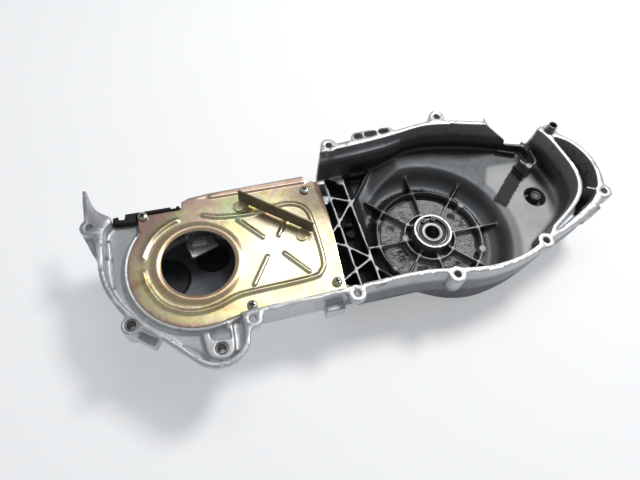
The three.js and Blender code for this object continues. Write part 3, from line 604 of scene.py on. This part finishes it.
def cad_mesh(node):
    mesh = frame["nodes"][node].data
    mesh.calc_loop_triangles()
    points = np.zeros(len(mesh.vertices) * 3, np.float32)
    mesh.vertices.foreach_get("co", points)
    triangles = np.zeros(len(mesh.loop_triangles) * 3, np.int32)
    mesh.loop_triangles.foreach_get("vertices", triangles)
    return design(points.reshape(-1, 3)), triangles.reshape(-1, 3).astype(np.uint32)


def turned_walls(points):
    """1 on the turned walls of the well, the dome and the fan housing, and 0 on the spokes."""
    x, y, z = points.T
    well = np.hypot(x, y)
    from_spoke = np.abs(np.sin(SPOKES / 2 * np.arctan2(y, x))) * well / 4
    right_of_truss = x > -66
    low = band(well, 64, 97, 4) * band(z, *CONE_HEIGHTS) * np.clip((from_spoke - 2.5) / 2, 0, 1)
    high = band(well, 70, 97, 4) * band(z, *CONE_HEIGHTS) * (well > 79)
    cone = np.maximum(low, high) * right_of_truss
    dome = band(np.hypot(x - DOME[0], y - DOME[1]), 57, 84, 3) * (z < -44)
    fan = np.hypot(x - FAN[0], y - FAN[1])
    housing = band(fan, 54, 67, 2) * (z < -19)
    bore = band(fan, 50, 55, 1) * band(z, -55, -16, 1)
    return np.clip(cone + dome + housing + bore, 0, 1)


def rear_wall_foot(points):
    """1 where the wall round the rear floor runs out into that floor."""
    x, y, z = points.T
    near = np.clip(1.6 - distance_to(points[:, :2], smooth_line(REAR_WALL)) / 5.5, 0, 1)
    return near * band(z, -42, -25, 4) * (x > 96) * (y < 80)


def cover_casting():
    points, triangles = cad_mesh("cover_casting")
    points, quads = offset(points, FILLET, triangles=triangles)
    points, quads = offset(points, -(FILLET + EDGE_RADIUS), quads=quads)
    points, quads = offset(points, EDGE_RADIUS, quads=quads)
    points = points.astype(float)
    quads = quads.astype(int)

    edges = np.concatenate([quads[:, [0, 1]], quads[:, [1, 2]], quads[:, [2, 3]], quads[:, [3, 0]]])
    edges = np.unique(np.sort(edges, axis=1), axis=0)
    even, foot = turned_walls(points), rear_wall_foot(points)
    points = relax(points, edges, even, WALL_ROUNDS)
    points = relax(points, edges, foot, FOOT_ROUNDS)
    points = relax(points, edges, np.full(len(points), 0.3), 1)

    # the machined and resting planes are true
    points[np.abs(points[:, 2]) < MATING_SNAP, 2] = 0
    points[np.abs(points[:, 2] - CASE_BOTTOM) < RESTING_SNAP, 2] = CASE_BOTTOM
    low, high = (design(corner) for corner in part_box("cover_casting"))
    points = np.clip(points, low, high)

    piece = mesh_object("casting", points, quads[:, ::-1], 40)
    face_outwards(piece)
    triangle_count = 2 * len(piece.data.polygons)
    if triangle_count > MOST_TRIANGLES:
        thin = piece.modifiers.new("thin", "DECIMATE")
        thin.ratio = MOST_TRIANGLES / triangle_count
        apply_modifiers(piece)
    shade(piece, 40)
    return fit(piece, "cover", "cast_aluminium", MATERIALS["casting"], "cover_casting")


# ---- the pressed plate --------------------------------------------------------------------
def smooth_line(points, steps=6):
    """A Catmull-Rom line through the points."""
    p = np.array(points, float)
    p = np.vstack([2 * p[0] - p[1], p, 2 * p[-1] - p[-2]])
    out = []
    for i in range(1, len(p) - 2):
        for t in np.linspace(0, 1, steps, endpoint=False):
            out.append(0.5 * (2 * p[i] + (p[i + 1] - p[i - 1]) * t
                              + (2 * p[i - 1] - 5 * p[i] + 4 * p[i + 1] - p[i + 2]) * t ** 2
                              + (3 * p[i] - p[i - 1] - 3 * p[i + 1] + p[i + 2]) * t ** 3))
    out.append(p[-2])
    return np.array(out)


def arc(centre, radius, start, end, steps):
    angles = np.radians(np.linspace(start, end, steps))
    return np.stack([centre[0] + radius * np.cos(angles), centre[1] + radius * np.sin(angles)], axis=1)


def distance_to(points, line):
    best = np.full(len(points), 1e9)
    for a, b in zip(line[:-1], line[1:]):
        along = b - a
        t = np.clip(((points - a) @ along) / max(along @ along, 1e-9), 0, 1)
        best = np.minimum(best, np.linalg.norm(points - (a + t[:, None] * along), axis=1))
    return best


def inside(points, loop):
    x, y = points.T
    result = np.zeros(len(points), bool)
    for (x0, y0), (x1, y1) in zip(loop, np.roll(loop, -1, axis=0)):
        crosses = (y0 > y) != (y1 > y)
        with np.errstate(divide="ignore", invalid="ignore"):
            result ^= crosses & (x < (x1 - x0) * (y - y0) / (y1 - y0) + x0)
    return result


PANEL_BEAD = [
    (-228, 48), (-215, 43.5), (-190, 41), (-170, 42.5), (-152, 45), (-139, 42.5), (-131, 35), (-128, 20),
    (-128, -20), (-133, -33), (-145, -37.5), (-200, -39), (-215, -41), (-230, -46), (-246, -47.5),
    (-262, -43.5), (-277, -32), (-286, -14), (-288.5, 0),
]
CROSS_BEADS = [
    ((-197, 36), (-178, 13)), ((-153, 27), (-163, 12)), ((-178, -8), (-195, -33)), ((-162, -8), (-144, -31)),
]
# each bead's line with the half width of its swelling
BEADS = [(smooth_line(PANEL_BEAD), 3.4), (arc(FAN, 49.5, 106, 163, 24), 3.8)]
BEADS += [(np.array(bead, float), 3.0) for bead in CROSS_BEADS]
BEAD_HEIGHT = 1.5
COLLAR_HEIGHT = 1.8
COLLAR_CREST = 37.2     # radius of the collar's highest ring
LIP_HEIGHT = 1.3
LIP_FOOT = 65.0         # y where the top edge starts to turn up
LIP_LINE = 66.5         # y of the middle of its finer mesh
LIP_END = -223          # x of the left end of its finer mesh
SCREW_HOLE = 3.0


def swell(distance, width):
    """1 on a line, falling as a cosine to 0 at the width."""
    return 0.5 + 0.5 * np.cos(math.pi * np.clip(distance / width, 0, 1))


def plate_height(points):
    """How far the pressing rises above the flat sheet at each point."""
    height = np.zeros(len(points))
    for line, width in BEADS:
        height = np.maximum(height, BEAD_HEIGHT * swell(distance_to(points, line), width))
    fan = np.linalg.norm(points - FAN, axis=1)
    outside = COLLAR_HEIGHT * swell(fan - COLLAR_CREST, 5.2)
    inlet = COLLAR_HEIGHT - 1.5 * np.clip((COLLAR_CREST - fan) / 4.2, 0, 1) ** 2.2
    height = np.maximum(height, np.where(fan < COLLAR_CREST, inlet, outside))
    lip = np.clip((points[:, 1] - LIP_FOOT) / 1.8, 0, 1)
    ends = np.clip((points[:, 0] + 221) / 2, 0, 1) * np.clip((-123.5 - points[:, 0]) / 2, 0, 1)
    height = np.maximum(height, LIP_HEIGHT * lip ** 2 * (3 - 2 * lip) * ends)
    beyond = points[:, 0] - np.interp(points[:, 1], [2, 25, 59], [-111.5, -112.0, -116.7])
    fold = np.clip(beyond, 0, None) * (points[:, 1] > 2)
    return height - 0.3 * fold


def plate_outline():
    return np.vstack([
        [(-285, 59.4), (-288, 57), (-288, 43)],
        arc(FAN, PLATE_RADIUS, 139, 283, 90),
        [(-212, -57.8), (-190, -56.2), (-117, -55), (-115.4, -53.6)],
        [(-111.5, 2), (-110.2, 26), (-110.4, 46), (-109.8, 63), (-117, 66.6), (-125, 68.5)],
        [(-125, 72.8), (-125.7, 73.5), (-218.8, 71.5)],
        [(-239.6, 70.4), (-246.6, 67.2), (-247.6, 59.4)],
    ])


def lattice(step):
    """Points over the whole plate, in rows of equal triangles."""
    xs, ys = np.meshgrid(np.arange(-304, -108, step), np.arange(-64, 76, step * 0.866))
    xs = xs + (np.arange(len(ys)) % 2)[:, None] * step / 2
    return np.stack([xs.ravel(), ys.ravel()], axis=1)


def bead_distance(points):
    return np.min([distance_to(points, line) for line, _ in BEADS], axis=0)


def plate_filling(outline, loops):
    """Mesh points inside the outline: fine along the beads and the lip, and in rings on the collar."""
    fine, coarse = lattice(1.05), lattice(2.6)
    on_lip = (np.abs(fine[:, 1] - LIP_LINE) < 1.8) & (fine[:, 0] > LIP_END)
    fine = fine[(bead_distance(fine) < 4.6) | on_lip]
    off_lip = (np.abs(coarse[:, 1] - LIP_LINE) >= 2.1) | (coarse[:, 0] < LIP_END)
    coarse = coarse[(bead_distance(coarse) >= 4.9) & off_lip]
    grid = np.vstack([coarse, fine])
    grid = grid[np.linalg.norm(grid - FAN, axis=1) > 45]
    turns = zip(np.arange(34, 44.5, 0.95), [0, 1.5] * 6)
    rings = [arc(FAN, radius, shift, 360 + shift, 121)[:-1] for radius, shift in turns]
    filling = np.vstack([grid, *rings])
    kept = inside(filling, outline)
    for loop in loops:
        kept &= distance_to(filling, np.vstack([loop, loop[:1]])) > 0.7
    for at in PLATE_SCREWS:
        kept &= np.linalg.norm(filling - np.array(at), axis=1) > SCREW_HOLE + 0.5
    return filling[kept]


def flat_plate():
    """The plate's triangles in plan, with the inlet and the screw holes open."""
    outline = plate_outline()
    loops = [outline, arc(FAN, INLET_RADIUS, 0, 360, 145)[:-1]]
    loops += [arc(at, SCREW_HOLE, 0, 360, 21)[:-1] for at in PLATE_SCREWS]
    boundary, constraints = [], []
    for loop in loops:
        first = len(boundary)
        boundary += [Vector(p) for p in loop]
        constraints += [(first + i, first + (i + 1) % len(loop)) for i in range(len(loop))]
    filling = [Vector(p) for p in plate_filling(outline, loops)]
    points, _, faces, *_ = delaunay_2d_cdt(boundary + filling, constraints, [], 0, 1e-6)
    flat = np.array([tuple(p) for p in points])
    faces = np.array([list(f) for f in faces])
    centres = flat[faces].mean(axis=1)
    kept = inside(centres, outline) & (np.linalg.norm(centres - FAN, axis=1) > INLET_RADIUS - 0.02)
    for at in PLATE_SCREWS:
        kept &= np.linalg.norm(centres - np.array(at), axis=1) > SCREW_HOLE - 0.1
    return flat, faces[kept]


def air_duct_plate():
    """An upper and a lower skin, joined along every free edge."""
    flat, faces = flat_plate()
    height = plate_height(flat)
    upper = np.column_stack([flat, PLATE_TOP + height])
    lower = np.column_stack([flat, PLATE_TOP + height - PLATE_THICKNESS])
    shift = len(flat)
    sides = dict.fromkeys((a, b) for face in faces for a, b in zip(face, np.roll(face, -1)))
    rim = [(a, b) for a, b in sides if (b, a) not in sides]
    all_faces = [tuple(f) for f in faces] + [tuple(f[::-1] + shift) for f in faces]
    all_faces += [(b, a, a + shift, b + shift) for a, b in rim]
    piece = mesh_object("pressed_plate", np.vstack([upper, lower]), all_faces, 50)
    face_outwards(piece, drop_loose=True)
    bevel_edges(piece, 0.22, 2, 60)
    shade(piece, 50)
    return fit(piece, "cover", "plated_sheet", MATERIALS["plate"], "air_duct_plate")


# ---- screws, bearing, dowels and the other small pieces -----------------------------------
def cross_recess(x, y, turn):
    """How deep the recess is pressed in at a place on the head, from 0 to 1.7."""
    cos, sin = math.cos(turn), math.sin(turn)
    u, v = abs(x * cos + y * sin), abs(-x * sin + y * cos)
    arm, side = max(u, v), min(u, v)
    depth = np.clip((0.62 + 0.12 * (2.9 - arm) - side) / 0.3, 0, 1)
    depth = float(depth * np.clip((2.75 - arm) / 0.5, 0, 1))
    return 1.7 * depth * depth * (3 - 2 * depth)


def plate_screw(number, at, turn, segments=72):
    """Pan head with a cross recess pressed into it, on a plain shank."""
    seat = PLATE_TOP + GAP
    profile = [(2.3, seat - 14), (2.3, seat), (4.4, seat), (4.65, seat + 0.3), (4.7, seat + 0.9)]
    for r in (4.65, 4.5, 4.25, *np.linspace(4.0, 0.22, 17)):
        profile.append((r, seat + 1.0 + 2.1 * math.sqrt(max(0.0, 1 - (r / 4.75) ** 2))))
    points, rings = [], []
    for radius, z in profile:
        rings.append(range(len(points), len(points) + segments))
        for k in range(segments):
            angle = 2 * math.pi * k / segments
            x, y = radius * math.cos(angle), radius * math.sin(angle)
            recess = cross_recess(x, y, turn) if z > seat + 0.95 else 0
            points.append((at[0] + x, at[1] + y, z - recess))
    faces = []
    for lower, upper in zip(rings, rings[1:]):
        for k in range(segments):
            after = (k + 1) % segments
            faces.append((lower[k], lower[after], upper[after], upper[k]))
    faces.append(tuple(rings[-1]))
    faces.append(tuple(rings[0][::-1]))
    piece = mesh_object(f"cross_head_screw_{number}", points, faces, 38)
    return fit(piece, "cover", "screw_steel", MATERIALS["head"], f"plate_screw_{number}")


def bearing():
    top, bottom = BEARING_TOP, BEARING_TOP - BEARING["width"]
    centre_z = (top + bottom) / 2
    pitch = (BEARING["outside"] + BEARING["bore"]) / 4
    ball = BEARING["ball"] / 2
    groove = ball + 0.25
    inner_face, outer_face = 10.8, 14.9

    def race(face, sign):
        half = math.sqrt(groove ** 2 - (face - pitch) ** 2)
        return [(pitch + sign * math.sqrt(groove ** 2 - z ** 2), centre_z + z)
                for z in np.linspace(-half, half, 13)]

    bore, outside = BEARING["bore"] / 2, BEARING["outside"] / 2
    chamfer = 0.7
    inner = [
        (bore + chamfer, bottom), (inner_face, bottom), *race(inner_face, -1), (inner_face, top),
        (bore + chamfer, top), (bore + 0.2, top - 0.2), (bore, top - chamfer), (bore, bottom + chamfer),
    ]
    outer = [
        (outer_face, bottom), (outside - chamfer, bottom), (outside, bottom + chamfer),
        (outside, top - chamfer), (outside - 0.2, top - 0.2), (outside - chamfer, top), (outer_face, top),
        *race(outer_face, 1)[::-1],
    ]
    fit(lathe("inner_race", WELL, inner, 128), "inner_ring", "bearing_steel", MATERIALS["steel"],
        "bearing_inner_ring")
    fit(lathe("outer_race", WELL, outer, 128), "cover", "bearing_steel", MATERIALS["steel"],
        "bearing_outer_ring")
    low, high = inner_face + GAP, outer_face - GAP
    seal = [(low, top - 1.6), (high, top - 1.6), (high, top - 0.7), (high - 0.4, top - 0.55),
            (high - 0.9, top - 0.8), (low + 1.2, top - 0.8), (low + 0.8, top - 0.6), (low, top - 0.75)]
    fit(lathe("shaft_seal", WELL, seal, 128), "cover", "seal_rubber", MATERIALS["seal"], "bearing_seal")
    for i in range(BEARING["balls"]):
        angle = 2 * math.pi * i / BEARING["balls"]
        where = (pitch * math.cos(angle), pitch * math.sin(angle))
        half_circle = [(ball * math.cos(t), centre_z + ball * math.sin(t))
                       for t in np.linspace(-math.pi / 2, math.pi / 2, 17)]
        half_circle[0] = (0, centre_z - ball)
        half_circle[-1] = (0, centre_z + ball)
        fit(lathe(f"race_ball_{i + 1}", where, half_circle, 32), "ball_train", "bearing_steel",
            MATERIALS["steel"], f"bearing_ball_{i + 1}")


def dowel(name, node):
    low, high = (design(corner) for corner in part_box(node))
    centre = (low + high)[:2] / 2
    outer = (high[0] - low[0]) / 2
    profile = rounded([(3.8, low[2]), (outer, low[2]), (outer, high[2]), (3.8, high[2])], 0.8)
    return fit(lathe(name, tuple(centre), profile, 72), "cover", "zinc_steel", MATERIALS["zinc"], node)


def floor_plug():
    low, high = (design(corner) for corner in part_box("floor_plug"))
    bottom, top = low[2], high[2]
    profile = [
        (0, bottom), (11.6, bottom), (11.9, bottom + 0.4), (11.9, bottom + 2.2), (11.5, bottom + 2.8),
        (7.6, bottom + 3), (6.7, bottom + 3.6), (6.4, bottom + 4.6), (6.4, top - 1.2), (6, top - 0.4),
        (5.2, top), (4.4, top - 0.1), (3.9, top - 0.7), (3.7, top - 1.3), (3.1, top - 1.4), (0, top - 1.4),
    ]
    return fit(lathe("blanking_plug", FLOOR_HOLE, profile, 72), "cover", "zinc_steel", MATERIALS["oily"],
               "floor_plug")


cover_casting()
air_duct_plate()
fit(softened("deflector_strip", "deflector_bracket", 0.45), "cover", "bracket_steel", MATERIALS["bracket"],
    "deflector_bracket")
fit(softened("corner_seal", "duct_seal", 0.5), "cover", "rubber", MATERIALS["rubber"], "duct_seal")
fit(softened("retaining_ring", "bearing_circlip", 0.2), "cover", "zinc_steel", MATERIALS["oily"],
    "bearing_circlip")
for number, (at, turn) in enumerate(zip(PLATE_SCREWS, (0.35, 0.9, 0.15, 1.2)), 1):
    plate_screw(number, at, turn)
bearing()
dowel("front_dowel", "dowel_front")
dowel("bulge_dowel", "dowel_bulge")
dowel("rear_dowel", "dowel_rear")
floor_plug()
for slot in frame["nodes"]["bearing_cage"].material_slots:
    slot.material = MATERIALS["cage"]


# ---- floor, light and camera --------------------------------------------------------------
FLOOR_GLOW = 0.32       # the floor is a lit table that shines a little itself
FLOOR_HALF = 6.0        # metres from its middle to an edge
FLOOR_DROP = 0.0002     # metres that it lies below the part
CAMERA_AT = (-224.02, -221.738, 415.325)
CAMERA_FORWARD = (0.20153, 0.45444, -0.86768)
CAMERA_UP = (0.1833, 0.85271, 0.48918)


def floor():
    mesh = bpy.data.meshes.new("floor")
    half = FLOOR_HALF
    corners = [(-half, -half, 0), (half, -half, 0), (half, half, 0), (-half, half, 0)]
    mesh.from_pydata(corners, [], [(0, 1, 2, 3)])
    piece = bpy.data.objects.new("floor", mesh)
    bpy.context.scene.collection.objects.link(piece)
    s = Shader("pale_floor", metallic=0.0, roughness=0.7)
    tone = s.noise(120, 2)
    paper = s.ramp(tone, [(0.2, (0.88, 0.885, 0.89)), (0.8, (0.90, 0.905, 0.91))])
    s.bsdf.inputs["Emission Color"].default_value = (0.97, 0.985, 1.0, 1)
    s.bsdf.inputs["Emission Strength"].default_value = FLOOR_GLOW
    piece.data.materials.append(s.finish(paper))
    piece.location.z = -FLOOR_DROP


def area_light(name, at, target, size, power):
    light = bpy.data.lights.new(name, "AREA")
    light.shape = "DISK"
    light.size = size
    light.energy = power
    lamp = bpy.data.objects.new(name, light)
    bpy.context.scene.collection.objects.link(lamp)
    lamp.location = Vector(row(at))
    lamp.rotation_euler = (Vector(row(target)) - lamp.location).to_track_quat("-Z", "Y").to_euler()


def lights():
    world = bpy.data.worlds.new("studio")
    bpy.context.scene.world = world
    world.use_nodes = True
    background = world.node_tree.nodes["Background"]
    background.inputs["Color"].default_value = (0.92, 0.96, 1.0, 1)
    background.inputs["Strength"].default_value = 0.27
    area_light("overhead_softbox", (-65, 430, 1000), (-160, 0, 0), 0.44, 1.0)
    area_light("side_key", (690, 490, 1300), (20, 0, -30), 0.42, 13)


def camera():
    lens = bpy.data.cameras.new("camera")
    lens.lens = 28.8
    lens.sensor_width = 36
    lens.clip_start = 0.01
    view = bpy.data.objects.new("camera", lens)
    bpy.context.scene.collection.objects.link(view)
    forward = Vector(CAMERA_FORWARD)
    right = forward.cross(Vector(CAMERA_UP)).normalized()
    up = right.cross(forward).normalized()
    turn = Matrix((right, up, -forward.normalized())).transposed().to_4x4()
    view.matrix_world = Matrix.Translation(Vector(row(CAMERA_AT))) @ turn
    bpy.context.scene.camera = view


floor()
lights()
camera()
bpy.context.scene.view_settings.view_transform = "Standard"
